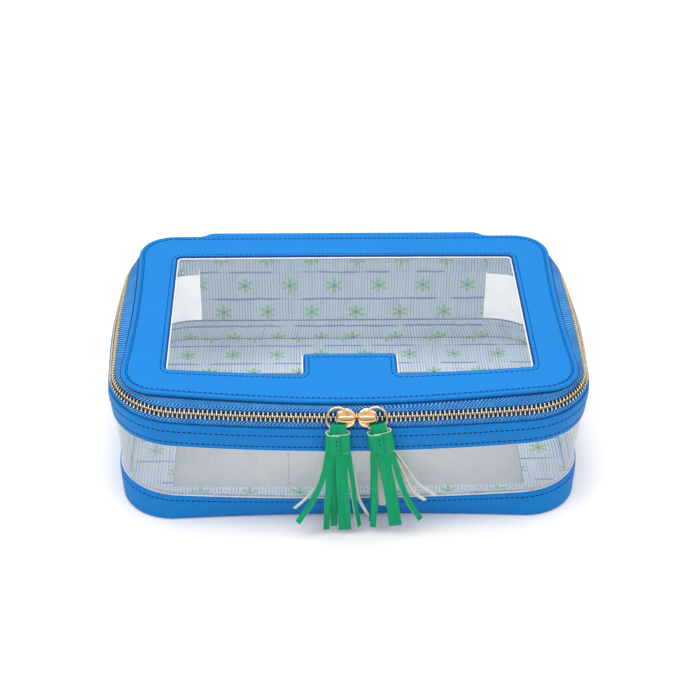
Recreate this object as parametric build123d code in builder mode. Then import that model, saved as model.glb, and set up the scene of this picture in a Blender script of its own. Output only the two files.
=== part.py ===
"""Soft mahjong case: clear walls, leather bands, a zip round three sides and a lid hinged at the back.

Millimetres. X runs to the right, Y to the back, Z up; the origin is on the table under the middle of the
base. Every sheet of the case follows one family of plan outlines, the wall sections below.
"""
from build123d import *
from collections import namedtuple
from math import asin, cos, degrees, pi, radians, sin, sqrt, tan
import os

os.makedirs("parts", exist_ok=True)

# ---------------------------------------------------------------- driving dimensions

# Plan of the case at the height of the zip
case_width = 320.0
case_depth = 220.0
corner_radius = 50.0
front_bow = 6.5            # how far the middle of the front swells past its corners

# Heights
base_edge_height = 1.5     # top of the turned edge at the foot of the wall
bottom_band_height = 18.3
zip_band_foot = 63.0
zip_band_top = 80.5
zip_height = 88.2          # middle line of the zip
hinge_height = 89.0        # fold between the lid's spine and the back panel
lid_underside = 96.3

# How the wall leans: each section is drawn in from the plan at the zip
foot_tuck = 2.0            # how far the turned edge draws in below that
base_side_inset = 5.0
base_front_inset = 2.0
base_radius = 36.0
base_bow = -3.5            # the empty case draws the foot of its front wall inwards
band_side_inset = 2.5
band_front_inset = 4.0
band_bow = 4.5

# Sheet stock
leather = 1.6
vinyl = 0.6
print_cloth = 0.7
ply_gap = 0.1              # glue and thread between two plies of one panel
lap = 6.0                  # how far a clear sheet runs behind the leather that holds it
base_lining_lap = 1.5      # how far the linings stand past the edge of the leather

# Back panel and spine
panel_width = 218.0
panel_gap = 0.3
hinge_gap = 0.3            # half of the fold left between the two leaves of the spine

# Base
base_window_width = 243.0
base_window_front = 77.0   # distance in front of the middle
base_window_back = 60.0
window_corner = 3.0

# Lid
lid_width = 302.0
lid_depth = 198.0
lid_radius = 26.0
lid_bow = 9.5
piping_diameter = 3.6
window_width = 243.0
window_front = 73.0
window_back = 70.0
window_bow = 7.0
tab_width = 62.0
tab_reach = 56.5           # front tab: distance of its edge in front of the middle
tab_corner = 2.5

# Zip
tooth_pitch = 3.0
tooth_length = 1.2         # along the chain
tooth_thickness = 2.8
tooth_head = 1.6           # thickness at the tip
tooth_shoulder = 1.9       # height of the full thickness, from the tape edge
chain_width = 6.8
mesh_depth = 0.8           # how far a head passes the middle line
tape = 0.6
chain_lean = 25.0          # degrees that the chain leans back from upright
chain_inset = 3.0          # its middle line, in from the plan outline
tape_lap = 9.0             # how far the upper tape runs in under the lid
chain_end_angle = 30.0     # the chain stops this far round the back corners
stop_length = 3.0
stop_proud = 0.2           # the end stops are thicker than the teeth by this much each side

# Sliders
slider_meeting = 3.0       # the two sliders meet right of the middle
slider_spacing = 0.6
slider_length = 12.8
slider_shoulder = 3.5      # the round open end is wider than the closed end by this much
slider_corner = 2.4
slider_plate = 1.2
slider_clearance = 0.3
flange = 0.9
bridge_length = 12.0
bridge_width = 4.0
bridge_bar = 1.3
bridge_leg = 1.4

# Pull rings and tassels
ring_diameter = 16.0       # outside
ring_wire = 1.4
ring_seat = 1.9            # the wire crosses under the bridge this far from the slider's middle
ring_play = 0.45           # play round the wire in the bridge
ring_lift = 0.9            # the wire lies this far off the slider's face
loop_width = 5.0
loop_leather = 1.1
loop_play = 0.15
loop_length = 3.0          # from the wire down to the collar
collar_width = 16.0
collar_depth = 7.0
collar_height = 15.5
strip_width = 3.4
strip_thickness = 1.1
strip_gap = 0.4
row_gap = 1.6
strips_per_row = 4
strip_rows = 2
table_clearance = 2.5      # the strips end this far above the table

# ---------------------------------------------------------------- plan outlines

half_width = case_width / 2
half_depth = case_depth / 2
Section = namedtuple("Section", "z half_width front back radius bow")

edge = Section(base_edge_height, half_width - base_side_inset, half_depth - base_front_inset,
               half_depth, base_radius, base_bow)
foot = Section(0.0, edge.half_width - foot_tuck, edge.front - foot_tuck, edge.back - foot_tuck,
               edge.radius - foot_tuck, base_bow)
band = Section(bottom_band_height, half_width - band_side_inset, half_depth - band_front_inset,
               half_depth, corner_radius - band_front_inset, band_bow)
waist = Section(zip_band_foot, half_width, half_depth, half_depth, corner_radius, front_bow)
seam = waist._replace(z=zip_band_top)
lid_edge = Section(lid_underside, lid_width / 2, lid_depth / 2, lid_depth / 2, lid_radius, lid_bow)


def at_height(lower, upper, z):
    """The section between two others, at height z."""
    share = (z - lower.z) / (upper.z - lower.z)
    return Section(*[a + share * (b - a) for a, b in zip(lower, upper)])


def front_arc(section, inset=0.0):
    """Radius of the bowed front, and the distance of its centre behind the middle."""
    spread = section.half_width - section.radius
    radius = section.radius + (spread**2 + section.bow**2) / (2 * section.bow) - inset
    return radius, radius + inset - section.front - section.bow


def outline(section, inset=0.0):
    """Face with straight back and sides, round corners and a bowed front, in the current sketch."""
    radius = section.radius - inset
    spread = section.half_width - section.radius
    side = section.half_width - inset
    back = section.back - inset
    arc_radius, arc_centre = front_arc(section, inset)
    corner = Vector(spread, section.radius - section.front)
    centre = Vector(0, arc_centre)
    tangent = centre + (corner - centre) * (arc_radius / (arc_radius - radius))
    middle = corner + ((tangent - corner) / radius + Vector(1, 0)).normalized() * radius
    turn = radius * sqrt(0.5)
    back_corner = Vector(spread, section.back - section.radius)
    with BuildLine() as line:
        ThreePointArc((-tangent.X, tangent.Y), (0, arc_centre - arc_radius), (tangent.X, tangent.Y))
        ThreePointArc((tangent.X, tangent.Y), (middle.X, middle.Y), (side, corner.Y))
        Line((side, corner.Y), (side, back_corner.Y))
        ThreePointArc((side, back_corner.Y), (spread + turn, back_corner.Y + turn), (spread, back))
        Line((spread, back), (-spread, back))
        ThreePointArc((-spread, back), (-spread - turn, back_corner.Y + turn), (-side, back_corner.Y))
        Line((-side, back_corner.Y), (-side, corner.Y))
        ThreePointArc((-side, corner.Y), (-middle.X, middle.Y), (-tangent.X, tangent.Y))
    make_face(line.edges())


def wall(sections, inset, thickness, opening=0.0, only_back=False):
    """A sheet that follows the wall through the given sections.

    opening is the width left out at the back; with only_back that stretch is what is kept.
    """
    with BuildPart() as sheet:
        for section in sections:
            with BuildSketch(Plane.XY.offset(section.z)):
                outline(section, inset)
        loft(ruled=True)
        for section in sections:
            with BuildSketch(Plane.XY.offset(section.z)):
                outline(section, inset + thickness)
        loft(ruled=True, mode=Mode.SUBTRACT)
        if opening:
            low = sections[0].z - 1
            high = sections[-1].z + 1
            with BuildSketch(Plane.XY.offset(low)):
                with Locations((0, half_depth)):
                    Rectangle(opening, case_depth)
            extrude(amount=high - low, mode=Mode.INTERSECT if only_back else Mode.SUBTRACT)
    return sheet.part


def finish(part, name):
    """Label a piece and write it."""
    part.label = name
    export_step(part, f"parts/{name}.step")


# ---------------------------------------------------------------- walls of the body

skin = leather + ply_gap                      # depth of the clear sheet behind the leather
lining_depth = skin + vinyl + ply_gap
open_width = panel_width + 2 * panel_gap

bottom_band = wall([foot, edge, band], 0.0, leather)
finish(bottom_band, "bottom_band")

lining_foot = at_height(foot, edge, base_edge_height)
lining_top = at_height(band, waist, bottom_band_height + base_lining_lap)
bottom_band_lining = wall([lining_foot, band, lining_top], lining_depth, print_cloth)
finish(bottom_band_lining, "bottom_band_lining")

clear_foot = at_height(edge, band, bottom_band_height - lap)
clear_top = seam._replace(z=zip_band_foot + lap)
clear_wall = wall([clear_foot, band, waist, clear_top], skin, vinyl, open_width)
finish(clear_wall, "clear_wall")

zip_band = wall([waist, seam], 0.0, leather, open_width)
finish(zip_band, "zip_band")

lining_low = at_height(band, waist, zip_band_foot - base_lining_lap)
zip_band_lining = wall([lining_low, waist, seam], lining_depth + tape + ply_gap, print_cloth, open_width)
finish(zip_band_lining, "zip_band_lining")

panel_top = seam._replace(z=hinge_height - hinge_gap)
back_panel = wall([band, waist, panel_top], 0.0, leather, panel_width, only_back=True)
finish(back_panel, "back_panel")

back_lining_top = seam._replace(z=hinge_height - 2 * hinge_gap)
back_lining = wall([band, waist, back_lining_top], leather + ply_gap, print_cloth, panel_width, only_back=True)
finish(back_lining, "back_lining")

# ---------------------------------------------------------------- base

base_opening = Section(0.0, base_window_width / 2, base_window_front, base_window_back, window_corner, 0.5)
base_seat = leather + ply_gap

with BuildPart() as base_frame:
    with BuildSketch():
        outline(foot, base_seat)
    extrude(amount=leather)
    with BuildSketch():
        outline(base_opening)
    extrude(amount=leather, mode=Mode.SUBTRACT)
finish(base_frame.part, "base_frame")

with BuildPart() as base_window:
    with BuildSketch(Plane.XY.offset(base_seat)):
        outline(base_opening, -lap)
    extrude(amount=vinyl)
finish(base_window.part, "base_window")

with BuildPart() as base_lining:
    with BuildSketch(Plane.XY.offset(base_seat + vinyl + ply_gap)):
        outline(foot, base_seat)
    extrude(amount=print_cloth)
    with BuildSketch(Plane.XY.offset(base_seat + vinyl + ply_gap)):
        outline(base_opening)
    extrude(amount=print_cloth, mode=Mode.SUBTRACT)
finish(base_lining.part, "base_lining")


# ---------------------------------------------------------------- lid

ring_width = piping_diameter                   # the lid's leather starts inside the piping
lid_window_height = lid_underside + ply_gap
lid_plate_height = lid_window_height + vinyl + ply_gap
lid_lining_height = lid_underside - print_cloth
window = Section(0.0, window_width / 2, window_front, window_back, window_corner, window_bow)


def window_opening():
    """The window with the front tab left standing in it."""
    with BuildSketch() as opening:
        outline(window)
        with Locations((0, -tab_reach - half_depth)):
            Rectangle(tab_width, 2 * half_depth, mode=Mode.SUBTRACT)
        beside_tab = [v for v in opening.vertices() if abs(abs(v.X) - tab_width / 2) < tab_corner / 4]
        fillet(beside_tab, radius=tab_corner)
    return opening.sketch


def lid_sheet(height, thickness, inset):
    """A flat ply of the lid frame: the lid's outline with the window cut out."""
    with BuildPart() as sheet:
        with BuildSketch(Plane.XY.offset(height)):
            outline(lid_edge, inset)
            add(window_opening(), mode=Mode.SUBTRACT)
        extrude(amount=thickness)
    return sheet.part


lid_frame = lid_sheet(lid_plate_height, leather, ring_width)
finish(lid_frame, "lid_frame")

with BuildPart() as lid_window:
    with BuildSketch(Plane.XY.offset(lid_window_height)):
        outline(lid_edge, ring_width)
    extrude(amount=vinyl)
finish(lid_window.part, "lid_window")

lid_lining = lid_sheet(lid_lining_height, print_cloth, tape_lap + panel_gap)
finish(lid_lining, "lid_lining")

piping_radius = piping_diameter / 2
piping_height = lid_underside + ply_gap + piping_radius
with BuildSketch(Plane.XY.offset(piping_height)) as piping_route:
    outline(lid_edge, piping_radius)
with BuildPart() as lid_piping:
    for stretch in piping_route.sketch.wires()[0].edges():
        with BuildSketch(Plane(origin=stretch @ 0, z_dir=stretch % 0)):
            Circle(piping_radius)
        sweep(path=stretch)
finish(lid_piping.part, "lid_piping")

# The spine starts on the lid, climbs over the piping and falls to the fold above the back panel.
lid_back = lid_depth / 2
piping_top = piping_height + piping_radius + ply_gap
plate_top = lid_plate_height + leather
fold = Vector(half_depth - leather, hinge_height + hinge_gap)
brow = Vector(lid_back + leather, piping_height)
spine_inside = [
    (lid_back - ring_width - lap, plate_top),
    (lid_back - ring_width - ply_gap, plate_top),
    (lid_back - ring_width + ply_gap, piping_top),
    (lid_back - ply_gap, piping_top),
    (brow.X, brow.Y),
    (fold.X, fold.Y),
]
spine_outside = [
    (half_depth, fold.Y),
    (brow.X + leather, brow.Y + leather / 2),
    (lid_back + ply_gap, piping_top + leather),
    (lid_back - ring_width - leather, piping_top + leather),
    (lid_back - ring_width - lap, plate_top + leather),
]
with BuildPart() as lid_spine:
    with BuildSketch(Plane.YZ):
        Polygon(*spine_inside, *spine_outside, align=None)
    extrude(amount=panel_width / 2, both=True)
finish(lid_spine.part, "lid_spine")

slope = (fold - brow).normalized()
inward = Vector(slope.Y, -slope.X)
lining_start = brow + slope * leather + inward * ply_gap
lining_end = fold + inward * ply_gap + slope * -hinge_gap
with BuildPart() as spine_lining:
    with BuildSketch(Plane.YZ):
        corners = [lining_start, lining_end, lining_end + inward * print_cloth]
        corners.append(lining_start + inward * print_cloth)
        Polygon(*[(corner.X, corner.Y) for corner in corners], align=None)
    extrude(amount=panel_width / 2, both=True)
finish(spine_lining.part, "spine_lining")

# ---------------------------------------------------------------- zip

slider_tail = chain_width + 2 * (slider_clearance + flange)
slider_width = slider_tail + slider_shoulder
slider_reach = slider_tail / 2 + flange + slider_clearance
lean = radians(chain_lean)


def leaning(distance, depth):
    """Height and inset of a point up the chain's leaning plane, and behind it by depth."""
    height = zip_height + distance * cos(lean) - depth * sin(lean)
    return height, chain_inset + distance * sin(lean) + depth * cos(lean)


# The upper tape carries on up the chain's slope behind the slider, then runs in under the lid.
with BuildPart() as upper_tape:
    for depth, mode in ((-tape / 2, Mode.ADD), (tape / 2, Mode.SUBTRACT)):
        for distance in (chain_width / 2, slider_reach):
            height, inset = leaning(distance, depth)
            with BuildSketch(Plane.XY.offset(height)):
                outline(seam, inset)
        rim = depth + tape / 2
        with BuildSketch(Plane.XY.offset(lid_underside - rim)):
            outline(lid_edge, rim / 2)
        loft(ruled=True, mode=mode)
    with BuildSketch(Plane.XY.offset(zip_height)):
        outline(lid_edge, tape_lap)
        with Locations((0, half_depth)):
            Rectangle(open_width, case_depth)
    extrude(amount=lid_underside, mode=Mode.SUBTRACT)
finish(upper_tape.part, "upper_tape")

# The lower tape follows the chain down past the slider, then goes in behind the zip band.
with BuildPart() as lower_tape:
    for depth, mode in ((-tape / 2, Mode.ADD), (tape / 2, Mode.SUBTRACT)):
        for height in (zip_band_foot + lap + ply_gap, zip_band_top):
            with BuildSketch(Plane.XY.offset(height)):
                outline(seam, lining_depth + depth + tape / 2)
        level = (depth - tape / 2) * tan(lean)           # both faces end at one height, at the foot of the teeth
        for distance in (-slider_reach - slider_clearance, -chain_width / 2 + level):
            height, inset = leaning(distance, depth)
            with BuildSketch(Plane.XY.offset(height)):
                outline(seam, inset)
        loft(ruled=True, mode=mode)
    with BuildSketch(Plane.XY.offset(zip_band_foot)):
        with Locations((0, half_depth)):
            Rectangle(open_width, case_depth)
    extrude(amount=zip_height, mode=Mode.SUBTRACT)
finish(lower_tape.part, "lower_tape")


# The chain's route: bowed front, round corner, straight side, and a little of the back corner.
chain_radius, chain_centre = front_arc(seam, chain_inset)
turn_radius = corner_radius - chain_inset
spread = half_width - corner_radius
front_turn = asin(spread / (chain_radius - turn_radius))
front_run = chain_radius * front_turn
corner_run = turn_radius * (pi / 2 - front_turn)
side_run = case_depth - 2 * corner_radius
end_run = turn_radius * radians(chain_end_angle)
half_chain = front_run + corner_run + side_run + end_run


def chain_place(distance):
    """Place on the chain's middle line at this distance from the middle of the front.

    The place's X axis follows the chain to the right, its Y axis points into the case and its Z axis
    leans back with the chain.
    """
    side = 1 if distance >= 0 else -1
    run = abs(distance)
    if run <= front_run:
        turn = run / chain_radius
        x = chain_radius * sin(turn)
        y = chain_centre - chain_radius * cos(turn)
    elif run <= front_run + corner_run:
        turn = front_turn + (run - front_run) / turn_radius
        x = spread + turn_radius * sin(turn)
        y = corner_radius - half_depth - turn_radius * cos(turn)
    elif run <= front_run + corner_run + side_run:
        turn = pi / 2
        x = spread + turn_radius
        y = corner_radius - half_depth + run - front_run - corner_run
    else:
        turn = pi / 2 + (run - front_run - corner_run - side_run) / turn_radius
        x = spread + turn_radius * sin(turn)
        y = half_depth - corner_radius - turn_radius * cos(turn)
    upright = Location((side * x, y, zip_height), (0, 0, side * degrees(turn)))
    return upright * Location((0, 0, 0), (-chain_lean, 0, 0))


def tooth_row(side, offset):
    """Teeth on one tape edge: side is 1 for the upper tape, -1 for the lower one."""
    with BuildPart() as tooth:
        with BuildSketch(Plane.YZ):
            with BuildLine():
                Polyline(
                    (-tooth_thickness / 2, side * chain_width / 2),
                    (-tooth_thickness / 2, side * (chain_width / 2 - tooth_shoulder)),
                    (-tooth_head / 2, -side * mesh_depth),
                    (tooth_head / 2, -side * mesh_depth),
                    (tooth_thickness / 2, side * (chain_width / 2 - tooth_shoulder)),
                    (tooth_thickness / 2, side * chain_width / 2),
                    close=True,
                )
            make_face()
        extrude(amount=tooth_length / 2, both=True)
    count = int((half_chain - offset) / tooth_pitch)
    distances = [offset + step * tooth_pitch for step in range(-count, count + 1)]
    return Compound([tooth.part.solid().moved(chain_place(distance)) for distance in distances])


finish(tooth_row(1, 0.0), "upper_teeth")
finish(tooth_row(-1, tooth_pitch / 2), "lower_teeth")

with BuildPart() as stop:
    with BuildSketch(Plane.XY.offset(-chain_width / 2)):
        Rectangle(stop_length, tooth_thickness + 2 * stop_proud)
    extrude(amount=chain_width / 2 - slider_clearance)
    fillet(stop.edges().filter_by(Axis.Z), radius=stop_proud * 2)
last_tooth = int(half_chain / tooth_pitch) * tooth_pitch + tooth_pitch / 2
stop_distance = last_tooth + tooth_length + stop_length / 2
end_stops = Compound([stop.part.solid().moved(chain_place(end * stop_distance)) for end in (-1, 1)])
finish(end_stops, "zip_end_stops")

# ---------------------------------------------------------------- sliders, pull rings and tassels

half_chain_thickness = tooth_thickness / 2
plate_back = half_chain_thickness + slider_clearance        # from the chain's middle plane
plate_face = plate_back + slider_plate
tape_slot = tape / 2 + slider_clearance
rail_middle = chain_width / 2 + slider_clearance + flange / 2

wire_radius = ring_wire / 2
ring_radius = ring_diameter / 2 - wire_radius
wire_rise = ring_radius - sqrt(ring_radius**2 - (loop_width / 2) ** 2)
loop_hole = wire_radius + wire_rise + loop_play
loop_radius = loop_hole + loop_leather
ring_plane = plate_face + ring_lift + wire_radius
bar_inside = ring_plane + wire_radius + ring_play


def slider_half(base, outward):
    """One plate with its two rails; outward is 1 for the front plate, -1 for the back plate."""
    with BuildPart() as half:
        with BuildSketch(base.offset(outward * plate_back)):
            with Locations(((slider_width - slider_length) / 2, 0)):
                Circle(slider_width / 2)
            corner_x = slider_length / 2 - slider_corner
            corner_y = slider_tail / 2 - slider_corner
            with Locations((corner_x, corner_y), (corner_x, -corner_y)):
                Circle(slider_corner)
            make_hull()
        extrude(amount=outward * slider_plate)
        face = half.faces().sort_by(Axis(base.origin, base.z_dir * outward))[-1]
        fillet(face.edges(), radius=slider_plate / 3)
        with BuildSketch(base.offset(outward * tape_slot)):
            with Locations((0, rail_middle), (0, -rail_middle)):
                Rectangle(slider_length - 2 * slider_corner, flange)
        extrude(amount=outward * (plate_back - tape_slot))
    return half.part


slider_offset = (slider_length + slider_spacing) / 2
up = Vector(0, 0, 1)

for name, side in (("left", -1), ("right", 1)):
    # base: X runs from the middle of the case outwards along the chain, Z points out of the case
    place = Plane(chain_place(slider_meeting + side * slider_offset))
    base = Plane(origin=place.origin, x_dir=place.x_dir * side, z_dir=-place.y_dir)

    bridge_top = bar_inside + bridge_bar
    with BuildPart() as slider:
        add(slider_half(base, 1))
        with BuildSketch(Plane(origin=base.origin, x_dir=base.x_dir, z_dir=base.x_dir.cross(base.z_dir))) as arch:
            with Locations((0, (plate_face + bridge_top) / 2)):
                Rectangle(bridge_length, bridge_top - plate_face)
            fillet(arch.vertices().group_by(Axis.Y)[-1], radius=bridge_bar + bridge_leg / 2)
            with Locations((0, (plate_face + bar_inside) / 2)):
                Rectangle(bridge_length - 2 * bridge_leg, bar_inside - plate_face, mode=Mode.SUBTRACT)
        extrude(amount=bridge_width / 2, both=True)
    finish(slider.part, f"slider_{name}")
    finish(slider_half(base, -1), f"slider_{name}_back")

    ring_centre = base.origin + base.x_dir * (ring_radius - ring_seat) + base.z_dir * ring_plane
    with BuildPart(Plane(origin=ring_centre, z_dir=base.z_dir)) as ring:
        Torus(ring_radius, wire_radius)
    finish(ring.part, f"ring_{name}")

    hang = ring_centre - place.z_dir * ring_radius
    out = Vector(base.z_dir.X, base.z_dir.Y, 0).normalized()
    with BuildPart() as loop:
        with BuildSketch(Plane(origin=hang, x_dir=out, z_dir=out.cross(up))):
            Circle(loop_radius)
            with Locations((0, -loop_length / 2)):
                Rectangle(2 * loop_leather, loop_length)
            Circle(loop_hole, mode=Mode.SUBTRACT)
        extrude(amount=loop_width / 2, both=True)
    finish(loop.part, f"tassel_{name}_loop")

    collar_foot = hang - up * (loop_length + collar_height)
    with BuildPart() as collar:
        with BuildSketch(Plane(origin=collar_foot, x_dir=base.x_dir, z_dir=up)):
            SlotOverall(collar_width, collar_depth)
        extrude(amount=collar_height)
    finish(collar.part, f"tassel_{name}_collar")

    with BuildPart() as fringe:
        with BuildSketch(Plane(origin=collar_foot, x_dir=base.x_dir, z_dir=-up)):
            with GridLocations(strip_width + strip_gap, strip_thickness + row_gap, strips_per_row, strip_rows):
                Rectangle(strip_width, strip_thickness)
        extrude(amount=collar_foot.Z - table_clearance)
    finish(fringe.part, f"tassel_{name}_fringe")
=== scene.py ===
from math import cos, pi, radians, sin, sqrt

import bpy
import numpy as np
from mathutils import Matrix, Vector
from mathutils.geometry import delaunay_2d_cdt


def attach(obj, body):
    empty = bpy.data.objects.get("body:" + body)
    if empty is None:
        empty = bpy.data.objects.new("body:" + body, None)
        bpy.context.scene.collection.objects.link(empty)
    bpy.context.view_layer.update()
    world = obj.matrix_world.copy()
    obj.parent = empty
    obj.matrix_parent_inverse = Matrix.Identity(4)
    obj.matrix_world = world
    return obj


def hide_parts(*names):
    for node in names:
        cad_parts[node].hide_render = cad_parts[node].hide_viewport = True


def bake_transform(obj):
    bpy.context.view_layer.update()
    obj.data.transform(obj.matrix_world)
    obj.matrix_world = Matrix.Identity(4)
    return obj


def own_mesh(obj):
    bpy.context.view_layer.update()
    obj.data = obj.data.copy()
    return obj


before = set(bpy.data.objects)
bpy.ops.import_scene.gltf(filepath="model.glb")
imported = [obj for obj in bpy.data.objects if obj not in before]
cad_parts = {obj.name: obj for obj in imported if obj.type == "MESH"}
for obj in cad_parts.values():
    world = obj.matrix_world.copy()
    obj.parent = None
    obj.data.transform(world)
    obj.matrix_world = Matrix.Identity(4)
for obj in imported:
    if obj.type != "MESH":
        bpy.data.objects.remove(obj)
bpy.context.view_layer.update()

# Lengths below are in millimetres; meshes are written in metres.
bpy.context.scene.view_settings.view_transform = "Standard"

# ---------------------------------------- plan outlines, as in the CAD source

# z, half width, front, back, corner radius, bow of the front
FOOT = (0.0, 153.0, 106.0, 108.0, 34.0, -3.5)
EDGE = (1.5, 155.0, 108.0, 110.0, 36.0, -3.5)
BAND = (18.3, 157.5, 106.0, 110.0, 46.0, 4.5)
WAIST = (63.0, 160.0, 110.0, 110.0, 50.0, 6.5)
SEAM = (80.5, 160.0, 110.0, 110.0, 50.0, 6.5)
ZIP = (93.5, 160.0, 110.0, 110.0, 50.0, 6.5)
LID = (96.3, 151.0, 99.0, 99.0, 26.0, 9.5)
WALL = [FOOT, EDGE, BAND, WAIST, SEAM, ZIP, LID]
WINDOW = (0.0, 121.5, 73.0, 70.0, 3.0, 7.0)
PANEL = 218.6


def section_at(z, stack=WALL):
    z = min(max(z, stack[0][0]), stack[-1][0])
    for low, high in zip(stack, stack[1:]):
        if z <= high[0]:
            k = (z - low[0]) / (high[0] - low[0])
            return tuple(a + k * (b - a) for a, b in zip(low, high))


def arc3(a, m, b, n):
    """n points on the circle through a, m and b, the last one left out."""
    (ax, ay), (mx, my), (bx, by) = a, m, b
    d = 2 * (ax * (my - by) + mx * (by - ay) + bx * (ay - my))
    sa, sm, sb = ax * ax + ay * ay, mx * mx + my * my, bx * bx + by * by
    cx = (sa * (my - by) + sm * (by - ay) + sb * (ay - my)) / d
    cy = (sa * (bx - mx) + sm * (ax - bx) + sb * (mx - ax)) / d
    r = sqrt((ax - cx) ** 2 + (ay - cy) ** 2)
    t0, t1, t2 = (np.arctan2(y - cy, x - cx) for x, y in (a, m, b))
    span = (t2 - t0) % (2 * pi)
    if (t1 - t0) % (2 * pi) > span:
        span -= 2 * pi
    t = t0 + span * np.arange(n) / n
    return np.c_[cx + r * np.cos(t), cy + r * np.sin(t)]


def segment(a, b, n):
    t = (np.arange(n) / n)[:, None]
    return np.array(a) * (1 - t) + np.array(b) * t


def plan(section, inset=0.0, opening=0.0, n=(40, 18, 22, 90)):
    """Outline from the back left round the front to the back right, (N, 2); opening is left out at the back."""
    _, half, front, back, radius, bow = section
    r = radius - inset
    spread, side, rear = half - radius, half - inset, back - inset
    big = radius + (spread**2 + bow**2) / (2 * bow)
    centre = big - front - bow
    big -= inset
    corner = np.array([spread, radius - front])
    away = corner - np.array([0, centre])
    tangent = np.array([0, centre]) + away * (big / (big - r))
    middle = (tangent - corner) / r + np.array([1.0, 0])
    middle = corner + middle / np.hypot(*middle) * r
    rear_y, q = back - radius, r * sqrt(0.5)
    left = [
        segment((-opening / 2, rear), (-spread, rear), n[0]),
        arc3((-spread, rear), (-spread - q, rear_y + q), (-side, rear_y), n[1]),
        segment((-side, rear_y), (-side, corner[1]), n[2]),
        arc3((-side, corner[1]), (-middle[0], middle[1]), (-tangent[0], tangent[1]), n[1]),
        arc3((-tangent[0], tangent[1]), (0, centre - big), tuple(tangent), n[3]),
        arc3(tuple(tangent), tuple(middle), (side, corner[1]), n[1]),
        segment((side, corner[1]), (side, rear_y), n[2]),
        arc3((side, rear_y), (spread + q, rear_y + q), (spread, rear), n[1]),
        segment((spread, rear), (opening / 2, rear), n[0]),
    ]
    if opening:
        left.append(np.array([[opening / 2, rear]]))
    return np.concatenate(left)


def smooth(x, low, high):
    t = np.clip((x - low) / (high - low), 0, 1)
    return t * t * (3 - 2 * t)


def lid_rise(x, y):
    """How far the soft lid stands above or below its flat plan."""
    crown = 1.1 * np.clip(1 - (x / 151) ** 2, 0, 1) * np.clip(1 - (y / 99) ** 2, 0, 1)
    sag = 1.7 * np.exp(-((x / 70) ** 2)) * (1 - smooth(y, -112, -70))
    return crown - sag + 0.9 * smooth(y, 70, 97)


def waisted(x, y):
    """The lid's side edges draw in a little between its corners."""
    return x - np.sign(x) * 2.6 * smooth(np.abs(x), 118, 146) * np.clip(1 - ((y - 12) / 78) ** 2, 0, 1)


def bellied(points):
    """The soft sides belly out round the zip, most at its band, and draw in at the back corners."""
    x, y, z = points.T
    level = smooth(z, 64, 78) * (1 - smooth(z, 82, 97))
    out = 4.2 * np.exp(-((y + 2) / 60) ** 2) - 3.0 * np.exp(-((y - 98) / 26) ** 2)
    return np.c_[x + np.sign(x) * smooth(np.abs(x), 118, 150) * level * out, y, z]


# ---------------------------------------- mesh helpers


def new_mesh(name, points, faces, uv=None, angle=40):
    mesh = bpy.data.meshes.new(name)
    points = bellied(np.asarray(points, float)) * 0.001
    mesh.from_pydata([tuple(p) for p in points], [], [tuple(map(int, f)) for f in faces])
    if uv is not None:
        layer = mesh.uv_layers.new(name="UVMap")
        index = np.zeros(len(mesh.loops), int)
        mesh.loops.foreach_get("vertex_index", index)
        layer.data.foreach_set("uv", np.asarray(uv, np.float32)[index].ravel())
    mesh.validate(clean_customdata=False)
    mesh.update()
    mesh.polygons.foreach_set("use_smooth", [True] * len(mesh.polygons))
    mesh.set_sharp_from_angle(angle=radians(angle))
    obj = bpy.data.objects.new(name, mesh)
    bpy.context.scene.collection.objects.link(obj)
    return obj


def dress(obj, body, material, slot, *nodes):
    for m in material if isinstance(material, list) else [material]:
        obj.data.materials.append(m)
    if body:
        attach(obj, body)
    if nodes:
        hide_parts(*nodes)
    return obj


def lengths(points):
    return np.r_[0, np.cumsum(np.linalg.norm(np.diff(points, axis=0), axis=1))]


def unit(rows):
    return rows / np.linalg.norm(rows, axis=1)[:, None]


def sample(at, s, table):
    """Rows of table, which lie at the lengths s, read off at the lengths at."""
    return np.stack([np.interp(at, s, column) for column in table.T], -1)


ROWS = {}


def tube_grid(name, grid, ring=True, loop=False):
    """Surface over grid (M, N, 3): M round the section, N along the path. ring closes M, loop closes N."""
    m, n = grid.shape[:2]
    ROWS[name] = m
    points = grid.reshape(-1, 3)
    faces = []
    for i in range(m if ring else m - 1):
        a, b = i * n, ((i + 1) % m) * n
        for j in range(n if loop else n - 1):
            k = (j + 1) % n
            faces.append((a + j, b + j, b + k, a + k))
    if ring and not loop:
        faces.append([i * n for i in range(m)])
        faces.append([i * n + n - 1 for i in reversed(range(m))])
    u = lengths(grid[0])
    v = lengths(grid[:, n // 2])
    uv = np.stack(np.meshgrid(u, v), -1).reshape(-1, 2)
    return new_mesh(name, points, faces, uv)


def swept(name, profile, opening=0.0, bend=None, stack=WALL):
    """A closed profile of (z, inset) points carried round the case."""
    rows = []
    for z, inset in profile:
        xy = plan(section_at(z, stack), inset, opening)
        rows.append(np.c_[xy, np.full(len(xy), z)])
    grid = np.array(rows)
    if bend is not None:
        grid = bend(grid)
    return tube_grid(name, grid, True, opening == 0)


def strip_profile(z0, z1, inset, thickness, edge, puff=0.0, steps=8):
    """Section of a leather strip: rounded edges, its outer face slightly full between its two edges."""
    half = thickness / 2
    e = min(edge, half)
    corner, along = np.linspace(0, pi / 2, 4), np.linspace(0, 1, steps + 1)[1:-1]
    out = [(z0 + e - e * cos(a), inset + e - e * sin(a)) for a in corner]
    out += [(z0 + e + (z1 - z0 - 2 * e) * k, inset - puff * sin(pi * k)) for k in along]
    out += [(z1 - e + e * sin(a), inset + e - e * cos(a)) for a in corner]
    return out + [(z1, inset + thickness), (z0, inset + thickness)]


def laid(places, shape, *axes):
    """A copy of shape at every place, along that place's own axes."""
    out = places[:, None]
    for k, axis in enumerate(axes):
        out = out + shape[:, k, None] * axis[:, None]
    return out.reshape(-1, 3)


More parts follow.
